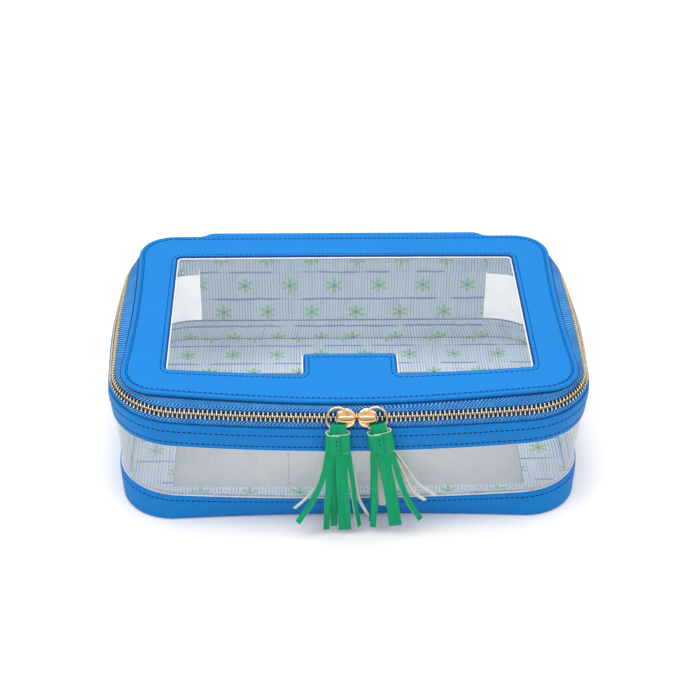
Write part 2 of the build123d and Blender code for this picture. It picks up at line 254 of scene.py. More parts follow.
STITCH_SINK = 0.3          # how deep a stitch lies in its leather


def stitches(name, points, normals, body, material, pitch=3.5, length=3.2, radius=0.6, closed=True,
             slot="blue_leather"):
    """A row of thread stitches along points, each a small rounded grain lying in the leather."""
    if closed:
        points, normals = (np.vstack([rows, rows[:1]]) for rows in (points, normals))
    s = lengths(points)
    count = max(int(s[-1] / pitch), 1)
    at = (np.arange(count) + 0.5) * s[-1] / count
    normal = unit(sample(at, s, normals))
    run = unit(sample(at + length / 2, s, points) - sample(at - length / 2, s, points))
    rings = [(-1.0, 0.35, -0.75), (-0.8, 0.85, -0.15), (0.0, 1.0, 0.1), (0.8, 0.85, -0.15), (1.0, 0.35, -0.75)]
    turn = np.linspace(0, 2 * pi, 6, endpoint=False)
    shape = np.array([[t * length / 2, w * radius * cos(q), (w * sin(q) + lift) * radius - STITCH_SINK]
                      for t, w, lift in rings for q in turn])
    grains = laid(sample(at, s, points), shape, run, np.cross(normal, run), normal)
    size = len(shape)
    faces = []
    for o in range(0, count * size, size):
        for r in range(o, o + 24, 6):
            for q in range(6):
                p = (q + 1) % 6
                faces.append((r + q, r + p, r + 6 + p, r + 6 + q))
        faces.append([o + q for q in reversed(range(6))])
        faces.append([o + 24 + q for q in range(6)])
    return dress(new_mesh(name, grains, faces, angle=80), body, material, slot)


def second_material(obj, *spans, loop=False):
    """Rows of a swept piece, counted round its section, take its second material."""
    count = len(obj.data.vertices) // ROWS[obj.name]
    run = count if loop else count - 1
    index = np.zeros(len(obj.data.polygons), int)
    for first, last in spans:
        index[first * run:last * run] = 1
    obj.data.polygons.foreach_set("material_index", index)


def wall_row(z, inset, opening=0.0):
    """Points and outward normals of a stitch line on the wall."""
    def line(level):
        xy = plan(section_at(level), inset, opening)
        return np.c_[xy, np.full(len(xy), level)]

    here, above = line(z), line(z + 0.5)
    return here, unit(np.cross(np.gradient(here, axis=0), above - here))


def resample(loop, step):
    """The closed loop again, with points about one step apart."""
    pts = np.vstack([loop, loop[:1]])
    s = lengths(pts)
    count = int(round(s[-1] / step))
    return sample(np.arange(count) * s[-1] / count, s, pts)


def offset_loop(points, distance):
    """A closed loop moved sideways to its right, which is outwards for the loops here."""
    run = unit(np.roll(points, -1, axis=0) - np.roll(points, 1, axis=0))
    return points + np.c_[run[:, 1], -run[:, 0]] * distance


def inside(loop, points):
    x, y = points[:, 0], points[:, 1]
    hit = np.zeros(len(points), bool)
    for (x0, y0), (x1, y1) in zip(loop, np.roll(loop, -1, axis=0)):
        cross = (y0 > y) != (y1 > y)
        if cross.any():
            hit ^= cross & (x < (x1 - x0) * (y - y0) / (y1 - y0 + 1e-12) + x0)
    return hit


def edge_distance(loop, points):
    a, b = loop, np.roll(loop, -1, axis=0)
    ab = b - a
    best = np.full(len(points), 1e9)
    for start in range(0, len(points), 4000):
        p = points[start:start + 4000, None]
        t = np.clip(((p - a) * ab).sum(-1) / (ab**2).sum(-1), 0, 1)
        d = np.linalg.norm(p - (a + t[..., None] * ab), axis=-1).min(1)
        best[start:start + 4000] = d
    return best


def plate(name, outer, inner, height, bottom, outer_rows=(0.0,), inner_rows=(), grid=7.0):
    """A flat soft sheet between two loops. height(points, outer distance, inner distance) gives its top face.

    The rows are distances in from each loop at which the sheet has a row of points.
    """
    hole = inner if inner is not None else np.array([[9e3, 9e3], [9e3 + 1, 9e3], [9e3, 9e3 + 1]])
    loops = [resample(offset_loop(outer, -d), 3.0) if d else outer for d in outer_rows]
    loops += [offset_loop(inner, d) if d else inner for d in inner_rows]
    points = np.vstack(loops)
    edges = []
    start = 0
    for loop in loops:
        count = len(loop)
        edges += [(start + i, start + (i + 1) % count) for i in range(count)]
        start += count
    low, high = outer.min(0), outer.max(0)
    xs, ys = np.arange(low[0], high[0], grid), np.arange(low[1], high[1], grid)
    mesh = np.stack(np.meshgrid(xs, ys), -1).reshape(-1, 2)
    keep = inside(outer, mesh) & ~inside(hole, mesh) & (edge_distance(outer, mesh) > outer_rows[-1] + 1.5)
    if inner is not None:
        keep &= edge_distance(inner, mesh) > inner_rows[-1] + 1.5
    points = np.vstack([points, mesh[keep]])
    found = delaunay_2d_cdt([Vector(p) for p in points], edges, [], 0, 1e-4)
    xy = np.array([tuple(v) for v in found[0]])
    tri = np.array([f for f in found[2]])
    centre = xy[tri].mean(1)
    tri = tri[inside(outer, centre) & ~inside(hole, centre)]
    used = np.unique(tri)
    remap = -np.ones(len(xy), int)
    remap[used] = np.arange(len(used))
    xy, tri = xy[used], remap[tri]
    a, b, c = (xy[tri[:, k]] for k in range(3))
    turn = (b[:, 0] - a[:, 0]) * (c[:, 1] - a[:, 1]) - (b[:, 1] - a[:, 1]) * (c[:, 0] - a[:, 0])
    tri[turn < 0] = tri[turn < 0][:, ::-1]
    top = height(xy, edge_distance(outer, xy), edge_distance(hole, xy))
    under = bottom(xy)
    count = len(xy)
    verts = np.vstack([np.c_[xy, top], np.c_[xy, under]])
    faces = [tuple(t) for t in tri] + [tuple(t[::-1] + count) for t in tri]
    edges = dict.fromkeys((t[i], t[(i + 1) % 3]) for t in tri for i in range(3))
    faces += [(j, i, i + count, j + count) for i, j in edges if (j, i) not in edges]
    return new_mesh(name, verts, faces, np.vstack([xy, xy]), angle=60)


def rounded(d, radius):
    """Drop of a rounded edge at distance d from it."""
    k = np.clip(radius - d, 0, radius)
    return radius - np.sqrt(radius**2 - k**2)


def groove(d, at, width=0.9, depth=0.35):
    return depth * np.exp(-(((d - at) / width) ** 2))


# ---------------------------------------- materials


class Graph:
    """Short hand for building a material's nodes."""

    def __init__(self, name, color=(0.8, 0.8, 0.8), roughness=0.5, metallic=0.0, **sockets):
        self.material = bpy.data.materials.new(name)
        self.material.use_nodes = True
        self.tree = self.material.node_tree
        self.bsdf = self.tree.nodes["Principled BSDF"]
        self.bsdf.inputs["Base Color"].default_value = (*color, 1)
        self.bsdf.inputs["Roughness"].default_value = roughness
        self.bsdf.inputs["Metallic"].default_value = metallic
        for key, value in sockets.items():
            self.bsdf.inputs[key.replace("_", " ")].default_value = value

    def add(self, kind, links=(), **settings):
        node = self.tree.nodes.new(kind)
        for key, value in settings.items():
            setattr(node, key, value)
        for socket, source in dict(links).items():
            if isinstance(source, bpy.types.NodeSocket):
                self.tree.links.new(source, node.inputs[socket])
            else:
                node.inputs[socket].default_value = source
        return node

    def math(self, operation, a, b=0.0):
        return self.add("ShaderNodeMath", {0: a, 1: b}, operation=operation).outputs[0]

    def mix(self, factor, a, b):
        a, b = (x if isinstance(x, bpy.types.NodeSocket) else (*x, 1) for x in (a, b))
        return self.add("ShaderNodeMix", {0: factor, 6: a, 7: b}, data_type="RGBA").outputs[2]

    def place(self, uv=False):
        """Coordinates in millimetres, from the object or from its UV map."""
        coordinates = self.add("ShaderNodeTexCoord")
        source = coordinates.outputs["UV" if uv else "Object"]
        if uv:
            return source
        return self.add("ShaderNodeVectorMath", {0: source, 3: 1000.0}, operation="SCALE").outputs[0]

    def noise(self, vector, scale, detail=3.0):
        return self.add("ShaderNodeTexNoise", {"Vector": vector, "Scale": scale, "Detail": detail,
                                               "Roughness": 0.55}).outputs["Fac"]

    def ramp(self, value, low, high, a=0.0, b=1.0):
        return self.add("ShaderNodeMapRange", {0: value, 1: low, 2: high, 3: a, 4: b},
                        interpolation_type="SMOOTHSTEP").outputs[0]

    def bump(self, height, strength, distance):
        node = self.add("ShaderNodeBump", {"Height": height, "Strength": strength, "Distance": distance})
        self.set("Normal", node.outputs[0])

    def set(self, socket, source):
        self.tree.links.new(source, self.bsdf.inputs[socket])


def leather(name, base, dark, roughness=0.47, grain=1.0, streak=0.0):
    g = Graph(name, base, roughness, Specular_IOR_Level=0.15)
    at = g.place()
    cells = g.add("ShaderNodeTexVoronoi", {"Vector": at, "Scale": 1.15}, feature="DISTANCE_TO_EDGE").outputs[0]
    pebble = g.ramp(cells, 0.0, 0.32)
    fine = g.noise(at, 2.6, 4.0)
    tone = g.noise(at, 0.035, 3.0)
    speckle = g.noise(at, 0.8, 2.0)
    mottle = g.math("ADD", g.ramp(tone, 0.3, 0.7, 0.0, 0.7), g.ramp(speckle, 0.35, 0.65, -0.5, 1.1))
    worn = tuple(0.55 * a + 0.45 * b for a, b in zip(base, dark))
    color = g.mix(g.math("MULTIPLY", mottle, 0.35), base, worn)
    # Painted shade: the creases between the grain's pebbles are darkened.
    crease_shade = g.math("MULTIPLY", g.math("SUBTRACT", 1.0, pebble), 0.16)
    # Painted shade: streak darkens long streaks down the piece, placed by noise.
    if streak:
        drawn = g.add("ShaderNodeVectorMath", {0: at, 1: (0.55, 0.3, 0.035)}, operation="MULTIPLY").outputs[0]
        color = g.mix(g.ramp(g.noise(drawn, 1.0, 2.0), 0.35, 0.7, 0.0, streak), color, dark)
    g.set("Base Color", g.mix(crease_shade, color, dark))
    g.set("Roughness", g.ramp(fine, 0.2, 0.8, roughness - 0.06, roughness + 0.1))
    height = g.math("ADD", g.math("MULTIPLY", pebble, 0.7), g.math("MULTIPLY", fine, 0.5))
    g.bump(height, 0.28 * grain, 0.00012)
    return g.material


def thread(name, base, dark):
    g = Graph(name, base, 0.8, Specular_IOR_Level=0.08)
    g.set("Base Color", g.mix(g.noise(g.place(), 2.0), base, dark))
    twist = g.add("ShaderNodeTexWave", {"Vector": g.place(), "Scale": 3.0, "Distortion": 1.0})
    g.bump(twist.outputs["Fac"], 0.5, 0.0001)
    return g.material


def vinyl(name, tint, clear, shine):
    """Clear film: clear is its share of colour seen straight on, shine what it gains at a slant."""
    g = Graph(name, tint, 0.09, Specular_IOR_Level=0.5)
    at = g.place()
    haze = g.noise(at, 0.03, 2.0)
    facing = g.add("ShaderNodeLayerWeight", {"Blend": 0.18}).outputs["Facing"]
    film = g.math("ADD", g.ramp(haze, 0.3, 0.7, clear * 0.8, clear * 1.2), g.math("MULTIPLY", facing, shine))
    g.set("Alpha", g.math("MINIMUM", film, 1.0))
    g.bump(g.noise(at, 0.05, 1.0), 0.25, 0.002)
    return g.material


def metal(name, base, deep, roughness=0.2):
    g = Graph(name, base, roughness, 1.0)
    at = g.place()
    g.set("Base Color", g.mix(g.ramp(g.noise(at, 0.25, 2.0), 0.3, 0.7), base, deep))
    g.set("Roughness", g.ramp(g.noise(at, 1.4, 3.0), 0.3, 0.8, roughness * 0.75, roughness * 1.35))
    g.bump(g.noise(at, 5.0, 2.0), 0.06, 0.00005)
    return g.material


def chain_metal(name, base, deep, shade):
    """Plated teeth, with painted shade in the cleft where the two rows mesh."""
    g = Graph(name, base, 0.24, 1.0)
    at = g.place()
    level = g.add("ShaderNodeSeparateXYZ", {0: at}).outputs[2]
    away = g.math("ABSOLUTE", g.math("SUBTRACT", level, ZIP_MIDDLE))
    plated = g.mix(g.ramp(g.noise(at, 0.7, 2.0), 0.35, 0.65), base, deep)
    g.set("Base Color", g.mix(g.ramp(away, 0.25, 0.95), shade, plated))
    g.set("Roughness", g.ramp(g.noise(at, 1.4, 3.0), 0.3, 0.8, 0.18, 0.34))
    g.bump(g.noise(at, 5.0, 2.0), 0.06, 0.00005)
    return g.material


def herringbone(name, base, dark, light):
    """Zip tape: slanting ribs that turn over from one narrow column to the next."""
    g = Graph(name, base, 0.8, Specular_IOR_Level=0.25)
    split = g.add("ShaderNodeSeparateXYZ", {0: g.place(uv=True)})
    u, v = split.outputs[0], split.outputs[1]
    column = g.math("PINGPONG", v, 3.0)
    slant = g.math("ADD", u, g.math("MULTIPLY", column, 1.3))
    rib = g.math("SINE", g.math("MULTIPLY", slant, 2 * pi / 2.5))
    fibre = g.math("SINE", g.math("MULTIPLY", g.math("SUBTRACT", u, column), 2 * pi / 0.3))
    height = g.math("ADD", g.ramp(rib, -0.8, 0.9), g.math("MULTIPLY", fibre, 0.1))
    tone = g.noise(g.place(), 0.08, 2.0)
    g.set("Base Color", g.mix(g.ramp(rib, -0.8, 0.4), dark, g.mix(g.ramp(tone, 0.2, 0.9), base, light)))
    g.bump(height, 0.9, 0.0004)
    return g.material


STRIPE, LEVEL, FLOWERS = 2.24, 24.0, 17.0   # period of the stripes and level lines, half the flowers' spacing


def lining(name, ground, stripe, line, sprig):
    """Cloth with fine upright stripes of uneven strength, level lines and small six-petalled flowers."""
    g = Graph(name, ground, 0.75, Specular_IOR_Level=0.3)
    split = g.add("ShaderNodeSeparateXYZ", {0: g.place(uv=True)})
    u, v = split.outputs[0], split.outputs[1]
    wobble = g.math("MULTIPLY", g.math("SUBTRACT", g.noise(g.place(uv=True), 0.06, 1.0), 0.5), 1.6)
    uu, vv = g.math("ADD", u, wobble), g.math("ADD", v, wobble)
    thin = g.ramp(g.math("PINGPONG", uu, STRIPE / 2), 0.1, 0.48, 1.0, 0.0)
    cell = g.math("FLOOR", g.math("DIVIDE", uu, STRIPE))
    row = g.math("FLOOR", g.math("DIVIDE", vv, LEVEL))
    seed = g.add("ShaderNodeCombineXYZ", {0: cell, 1: row}).outputs[0]
    chance = g.add("ShaderNodeTexWhiteNoise", {"Vector": seed}, noise_dimensions="2D").outputs["Value"]
    strength = g.ramp(chance, 0.3, 1.0, 0.5, 1.0)
    color = g.mix(g.math("MULTIPLY", thin, strength), ground, stripe)
    level = g.math("PINGPONG", vv, LEVEL / 2)
    bar = g.ramp(level, 0.55, 1.0, 1.0, 0.0)
    broken = g.ramp(g.noise(g.place(uv=True), 0.035, 1.0), 0.4, 0.48, 0.12, 0.92)
    color = g.mix(g.math("MULTIPLY", bar, broken), color, line)
    shift = g.math("MULTIPLY", g.math("MODULO", g.math("ABSOLUTE", row), 2.0), FLOWERS)
    px = g.math("PINGPONG", g.math("ADD", uu, shift), FLOWERS)
    py = g.math("SUBTRACT", LEVEL / 2, level)
    reach = g.math("SQRT", g.math("ADD", g.math("MULTIPLY", px, px), g.math("MULTIPLY", py, py)))
    angle = g.math("ARCTAN2", py, px)
    lobes = g.math("ABSOLUTE", g.math("SINE", g.math("MULTIPLY", angle, 3.0)))
    petal = g.math("ADD", 1.0, g.math("MULTIPLY", lobes, 6.0))
    flower = g.ramp(g.math("SUBTRACT", reach, petal), -1.2, 0.4, 1.0, 0.0)
    color = g.mix(g.math("MULTIPLY", flower, 0.9), color, sprig)
    color = g.mix(g.ramp(reach, 1.2, 1.7, 0.9, 0.0), color, line)
    g.set("Base Color", color)
    warp, weft = (g.math("SINE", g.math("MULTIPLY", x, 2 * pi / 0.45)) for x in (u, v))
    weave = g.math("MULTIPLY", warp, weft)
    g.bump(g.math("ADD", weave, g.noise(g.place(), 0.12, 2.0)), 0.2, 0.0002)
    return g.material


ZIP_MIDDLE = 88.2  # height of the zip chain's middle line
BLUE, BLUE_DEEP = (0.004, 0.212, 0.620), (0.003, 0.115, 0.370)
blue = leather("blue_leather_grain", BLUE, BLUE_DEEP)
thread_blue = thread("blue_thread", (0.001, 0.046, 0.260), (0.001, 0.028, 0.160))
# Dark edge paint on the leather's cut edges, also used as painted shade: it darkens the lid's sloping window edge and
# draws a shadow line beside the piping.
edge_paint_and_shade = leather("blue_edge_paint_and_shade", (0.002, 0.055, 0.250), (0.001, 0.03, 0.14), 0.4, 0.5)
tape_cloth = herringbone("zip_tape_weave", (0.045, 0.330, 0.830), (0.002, 0.055, 0.260), (0.130, 0.500, 0.980))
# Painted shade: a darkened copy of the tape's weave, for the tape beside the teeth and where it runs under the lid's
# piping.
tape_shade = herringbone("zip_tape_painted_shade", (0.006, 0.070, 0.270), (0.002, 0.035, 0.140), (0.012, 0.100, 0.340))
gold = metal("pale_gold_plating", (0.95, 0.69, 0.42), (0.88, 0.58, 0.32), 0.12)
# The third colour is painted shade in the cleft where the rows mesh.
gold_teeth = chain_metal("gold_teeth_plating", (1.0, 0.97, 0.80), (0.97, 0.88, 0.62), (0.54, 0.42, 0.24))
# Painted shade: a darker copy of the plating for the teeth's bevels and sides.
gold_flanks_painted_shade = chain_metal("gold_teeth_flanks_painted_shade", (0.62, 0.50, 0.30), (0.44, 0.34, 0.19), (0.20, 0.15, 0.08))
clear = vinyl("clear_vinyl", (0.54, 0.58, 0.64), 0.075, 0.22)
clear_wall_film = vinyl("clear_vinyl_wall", (0.56, 0.61, 0.68), 0.19, 0.5)
welt = Graph("white_vinyl_edge", (0.86, 0.88, 0.92), 0.3, Specular_IOR_Level=0.5)
welt.bump(welt.noise(welt.place(), 0.4), 0.2, 0.0004)
welt.set("Base Color", welt.mix(welt.noise(welt.place(), 0.2), (0.90, 0.92, 0.95), (0.72, 0.76, 0.82)))
welt = welt.material
print_cloth = lining("striped_lining", (0.86, 0.97, 1.0), (0.04, 0.27, 0.66), (0.03, 0.19, 0.55), (0.24, 0.66, 0.20))
# The green's streaks are painted shade.
green = leather("green_leather_grain", (0.0, 0.370, 0.152), (0.0, 0.175, 0.076), 0.5, 0.8, 0.4)
cream = leather("cream_suede_back", (0.72, 0.72, 0.64), (0.52, 0.52, 0.44), 0.8, 0.8)
thread_green = thread("green_thread", (0.002, 0.075, 0.03), (0.002, 0.04, 0.015))


# ---------------------------------------- body of the case

SHELL, TOP = "case_shell", "lid"


def dress_cloth(obj, body, *nodes):
    return dress(obj, body, print_cloth, "printed_lining", *nodes)


def dress_welt(obj, body):
    return dress(obj, body, welt, "clear_sheet")


def dress_gold(obj, body, *nodes):
    return dress(obj, body, gold, "gold_metal", *nodes)


LEAN = radians(25.0)
CHAIN_INSET = 3.0
PITCH = 3.0


def leaning(distance, depth):
    """Height and inset of a point up the chain's leaning plane, and behind it by depth."""
    z = ZIP_MIDDLE + distance * cos(LEAN) - depth * sin(LEAN)
    return z, CHAIN_INSET + distance * sin(LEAN) + depth * cos(LEAN)


def curve(points, steps=6):
    """A smooth line through points."""
    p = np.array(points, float)
    p = np.vstack([2 * p[0] - p[1], p, 2 * p[-1] - p[-2]])
    out = []
    for a, b, c, d in zip(p, p[1:], p[2:], p[3:]):
        for t in np.arange(steps) / steps:
            out.append(0.5 * (2 * b + (c - a) * t + (2 * a - 5 * b + 4 * c - d) * t**2
                              + (3 * b - a - 3 * c + d) * t**3))
    out.append(p[-2])
    return np.array(out)


def sheet_profile(line, thickness):
    """Closed section of a sheet whose outer face follows line. Its inner face lies to the left of line's run."""
    line = np.asarray(line, float)
    run = unit(np.gradient(line, axis=0))
    inner = line + np.c_[-run[:, 1], run[:, 0]] * thickness
    return [tuple(p) for p in line] + [tuple(p) for p in inner[::-1]]


def round_profile(z, inset, radius):
    return [(z + radius * sin(a), inset - radius * cos(a)) for a in np.arange(12) * 2 * pi / 12]


def foot_inset(z):
    """How far the rounded foot of the leather lies inside the plan outline at height z."""
    return 0.85 * (2.6 - sqrt(2.6**2 - (2.6 - min(z, 2.6)) ** 2)) - max(2 - z / 0.75, 0)


low = [0.0, 0.25, 0.6, 1.0, 1.5, 2.0, 2.6, 4.0, 6.0]
face = [(z, foot_inset(z)) for z in low]
face += [(z, -0.25 * sin(pi * (z - 6) / 11.7)) for z in (8.4, 10.8, 13.2, 14.6, 15.4, 16.6)]
face += [(17.75, 0.0), (18.1, 0.16), (18.3, 0.55)]
back = [(18.3, 1.6), (6.0, 1.6), (2.6, 1.6), (1.5, 1.5), (0.6, 1.6), (0.0, 1.6)]
dress(swept("bottom_band_leather", face + back), SHELL, blue, "blue_leather", "bottom_band")
rows, normals = wall_row(15.0, -0.12)
stitches("bottom_band_stitching", rows, normals, SHELL, thread_blue)
dress_welt(swept("bottom_band_vinyl_edge", strip_profile(18.2, 18.9, 0.9, 1.0, 0.3, steps=2)), SHELL)

LINED = 2.4
dress_cloth(swept("bottom_band_lining_cloth", strip_profile(3.2, 19.8, LINED, 0.7, 0.2, steps=4)), SHELL,
            "bottom_band_lining")
# The binding's inner face takes the dark edge colour as painted shade.
binding = dress(swept("bottom_band_lining_binding", strip_profile(19.4, 20.4, LINED - 0.1, 0.9, 0.3, steps=2)), SHELL,
                [print_cloth, edge_paint_and_shade], "printed_lining")
second_material(binding, (ROWS[binding.name] - 2, ROWS[binding.name] - 1), loop=True)


def rippled(grid):
    """The soft film moves in and out a little between its seams."""
    wave = np.random.default_rng(3).uniform(0, 2 * pi, 8)
    z = grid[..., 2]
    free = np.clip((z - 19) * (63 - z) / 484, 0, 1)
    angle = np.arctan2(grid[..., 1], grid[..., 0])
    lift = sum(np.sin(k * angle + w + z * 0.06 * (i % 3 - 1)) / (1 + i * 0.6)
               for i, (k, w) in enumerate(zip((2, 3, 5, 7, 11, 4, 9, 13), wave)))
    out = grid.copy()
    away = np.stack([np.cos(angle), np.sin(angle)], -1)
    out[..., :2] += away * (lift * free * 0.45)[..., None]
    return out


dress(swept("clear_wall_film", strip_profile(12.3, 69.0, 1.7, 0.6, 0.1, steps=14), PANEL, rippled), SHELL,
      clear_wall_film, "clear_sheet", "clear_wall")

dress(swept("zip_band_leather", strip_profile(63.0, 80.5, 0.0, 1.6, 0.5, 0.3), PANEL), SHELL, blue, "blue_leather",
      "zip_band")
for name, z, drop in (("upper", 75.0, 0.22), ("lower", 66.4, 0.12)):
    rows, normals = wall_row(z, -drop, PANEL + 6)
    stitches(f"zip_band_{name}_stitching", rows, normals, SHELL, thread_blue, closed=False)
dress_welt(swept("zip_band_vinyl_edge", strip_profile(62.1, 63.1, 0.9, 0.9, 0.3, steps=2), PANEL), SHELL)
dress_cloth(swept("zip_band_lining_cloth", strip_profile(61.5, 80.5, 3.1, 0.7, 0.2, steps=4), PANEL), SHELL,
            "zip_band_lining")

TAPE = 0.55                # thickness of the zip tape
lower = curve([(69.1, 2.45), (78.5, 2.35), (80.9, 1.6), leaning(-5.2, -0.3), leaning(-3.4, -0.3),
               leaning(-0.03, 0.85)])
tape = dress(swept("lower_zip_tape", sheet_profile(lower, TAPE), PANEL), SHELL, [tape_cloth, tape_shade], "zip_tape",
             "lower_tape")
# The rows next to the teeth take the painted shade.
second_material(tape, (24, 31))


# One tooth, tail to tip: distance across the chain, half its length along it, half its thickness
TOOTH = ((-3.12, 0.32, 0.55), (-2.98, 0.50, 0.85), (-2.0, 0.56, 1.08), (-1.2, 0.54, 1.05), (-0.75, 0.52, 0.84),
         (-0.2, 0.62, 0.80), (0.3, 0.60, 0.72), (0.62, 0.46, 0.55), (0.75, 0.24, 0.25))
CORNERS = ((1, 0.45), (0.8, 1), (-0.8, 1), (-1, 0.45), (-1, -0.45), (-0.8, -1), (0.8, -1), (1, -0.45))


def tooth_row(name, body, side, offset):
    """Zip teeth along the chain's leaning middle line; side is 1 for the lid's row, -1 for the case's."""
    xy = plan(SEAM, CHAIN_INSET, PANEL, (40, 60, 20, 400))
    s = lengths(xy)
    at = s[-1] / 2 + offset + PITCH * np.arange(-109, 110)
    place, before, after = (sample(at + d, s, xy) for d in (0, -0.5, 0.5))
    flat_run = np.c_[after - before, np.zeros(len(at))]
    out = np.c_[flat_run[:, 1], -flat_run[:, 0], np.zeros(len(at))]
    climb = np.array([0, 0, cos(LEAN)]) - out * sin(LEAN)
    face = np.array([0, 0, sin(LEAN)]) + out * cos(LEAN)
    shape = np.array([(a * w, -side * b, c * t) for b, w, t in TOOTH for a, c in CORNERS])
    points = laid(np.c_[place, np.full(len(at), ZIP_MIDDLE)], shape, flat_run, climb, face)
    rings, corners = len(TOOTH), len(CORNERS)
    quads = []
    for r in range(0, (rings - 1) * corners, corners):
        for q in range(corners):
            p = (q + 1) % corners
            quads.append((r + q, r + p, r + corners + p, r + corners + q))
    quads += [tuple(reversed(range(corners))), tuple(range((rings - 1) * corners, rings * corners))]
    if side < 0:
        quads = [tuple(reversed(f)) for f in quads]
    faces = [tuple(i + k * len(shape) for i in f) for k in range(len(at)) for f in quads]
    row = dress(new_mesh(name, points, faces, angle=50), body, [gold_teeth, gold_flanks_painted_shade], "gold_metal",
                name.replace("_metal", ""))
    # Each tooth's bevels and sides take the painted shade; its two broad faces and its ends keep the bright plating.
    flank = [int(k < len(quads) - 2 and k % corners not in (1, 5)) for k in range(len(quads))]
    row.data.polygons.foreach_set("material_index", flank * len(at))


tooth_row("lower_teeth_metal", SHELL, -1, PITCH / 2)
tooth_row("upper_teeth_metal", TOP, 1, 0.0)

# ---------------------------------------- base


def loop_of(section, inset=0.0):
    return plan(section, inset, 0.0, (20, 8, 14, 60))


foot_loop = resample(loop_of(FOOT, 2.7), 3.0)
BASE_WINDOW = (0.0, 121.5, 77.0, 60.0, 3.0, 0.5)
base_window_loop = resample(loop_of(BASE_WINDOW), 3.0)


def flat(z):
    return lambda xy: np.full(len(xy), float(z))


def base_top(xy, outer, inner):
    return 1.6 - rounded(inner, 0.8) - groove(inner, 3.2, 0.6, 0.15)


dress(plate("base_leather", foot_loop, base_window_loop, base_top, flat(0.0), inner_rows=(0.0, 0.3, 0.8, 2.4, 4.0)),
      SHELL, blue, "blue_leather", "base_frame")
dress(plate("base_window_film", resample(loop_of(BASE_WINDOW, -6), 4.0), None,
            lambda xy, outer, inner: np.full(len(xy), 2.3), flat(1.72), grid=12.0),
      SHELL, clear, "clear_sheet", "base_window")


def cloth_top(xy, outer, inner):
    return 3.1 + 0.12 * np.sin(xy[:, 0] * 0.07 + 1) * np.sin(xy[:, 1] * 0.09)


seam_grey = thread("grey_seam_thread", (0.16, 0.24, 0.36), (0.10, 0.16, 0.26))
dress_cloth(plate("base_lining_cloth", resample(loop_of(FOOT, 1.9), 3.0), base_window_loop, cloth_top, flat(2.42),
                  inner_rows=(0.0, 3.0)), SHELL, "base_lining")

seam = resample(offset_loop(base_window_loop, 3.5), 1.2)
seam = np.c_[seam, np.full(len(seam), 3.2)]
stitches("base_lining_stitching", seam, np.tile([0.0, 0.0, 1.0], (len(seam), 1)), SHELL, seam_grey, 4.0, 1.8, 0.35,
         slot="printed_lining")
walls = [wall_row(z, 1.6, PANEL)[0] for z in np.linspace(21, 61, 11)]
column = np.array([row[np.abs(row[:, 0] + 41).argmin()] for row in walls])
stitches("clear_wall_stitching", column, np.tile([0.0, -1.0, 0.0], (len(column), 1)), SHELL, seam_grey, 4.2, 1.5, 0.28,
         False, slot="clear_sheet")

# ---------------------------------------- lid


def arc(cx, cy, radius, start, end):
    t = np.radians(np.linspace(start, end, 7))
    return np.c_[cx + radius * np.cos(t), cy + radius * np.sin(t)]


TAB, REACH, TURN = 31.0, -56.5, 2.5


def window_loop():
    """Edge of the lid's window, with the front tab left standing in it."""
    loop = plan(WINDOW, 0.0, 0.0, (30, 8, 30, 80))
    front = (np.abs(loop[:, 0]) < TAB + TURN) & (loop[:, 1] < 0)
    first = np.flatnonzero(front)[0]
    last = np.flatnonzero(front)[-1]
    edge = np.interp(TAB + TURN, *zip(*sorted((abs(x), y) for x, y in loop[first - 3:first + 4])))
    tab = [arc(-TAB - TURN, edge + TURN, TURN, -90, 0), segment((-TAB, edge + TURN), (-TAB, REACH - TURN), 6)[1:],
           arc(-TAB + TURN, REACH - TURN, TURN, 180, 90), segment((-TAB + TURN, REACH), (TAB - TURN, REACH), 20)[1:],
           arc(TAB - TURN, REACH - TURN, TURN, 90, 0), segment((TAB, REACH - TURN), (TAB, edge + TURN), 6)[1:],
           arc(TAB + TURN, edge + TURN, TURN, 180, 270)]
    return np.vstack([loop[:first], *tab, loop[last + 1:]])


window_edge = window_loop()
lid_loop = resample(loop_of(LID, 2.9), 3.0)
lid_loop[:, 0] = waisted(*lid_loop.T)


def lid_top(xy, outer, inner):
    z = 98.7 + lid_rise(*xy.T)
    z -= rounded(outer, 0.9) + rounded(inner, 0.7)
    z += 0.42 * np.exp(-(((inner - 1.7) / 1.1) ** 2))
    z -= groove(inner, 3.8, 0.7, 0.32) + groove(outer, 1.3, 0.7, 0.22)
    return z


def lid_under(xy):
    return 97.1 + lid_rise(*xy.T)


lid_sheet = plate("lid_leather", lid_loop, window_edge, lid_top, lid_under,
                  (0.0, 0.2, 0.5, 0.9, 1.3, 1.8, 2.6, 3.6), (0.0, 0.3, 0.8, 1.2, 1.7, 2.6, 3.2, 3.8, 4.6))
dress(lid_sheet, TOP, [blue, edge_paint_and_shade], "blue_leather", "lid_frame")
# Faces near the window's edge and along the outer edge take the dark edge colour: edge paint, and painted shade on the
# slope into the window and in a line beside the piping.
middles = np.array([tuple(p.center) for p in lid_sheet.data.polygons])[:, :2] * 1000
cut = (edge_distance(window_edge, middles) < 1.1) | (edge_distance(lid_loop, middles) < 0.5)
lid_sheet.data.polygons.foreach_set("material_index", cut.astype(int))


def lid_row(loop, offset, lift):
    at = resample(offset_loop(loop, offset), 1.2)
    z = 98.7 + lid_rise(*at.T) + lift
    return np.c_[at, z], np.tile([0.0, 0.0, 1.0], (len(at), 1))


stitches("lid_outer_stitching", *lid_row(lid_loop, -1.3, -0.22), TOP, thread_blue)
stitches("lid_window_stitching", *lid_row(window_edge, 3.8, -0.3), TOP, thread_blue)


def loop_tube(name, loop, heights, radius):
    """A round bead along a closed plan loop."""
    grid = [np.c_[offset_loop(loop, radius * cos(t)), heights + radius * sin(t)]
            for t in np.arange(10) * 2 * pi / 10]
    return tube_grid(name, np.array(grid), True, True)


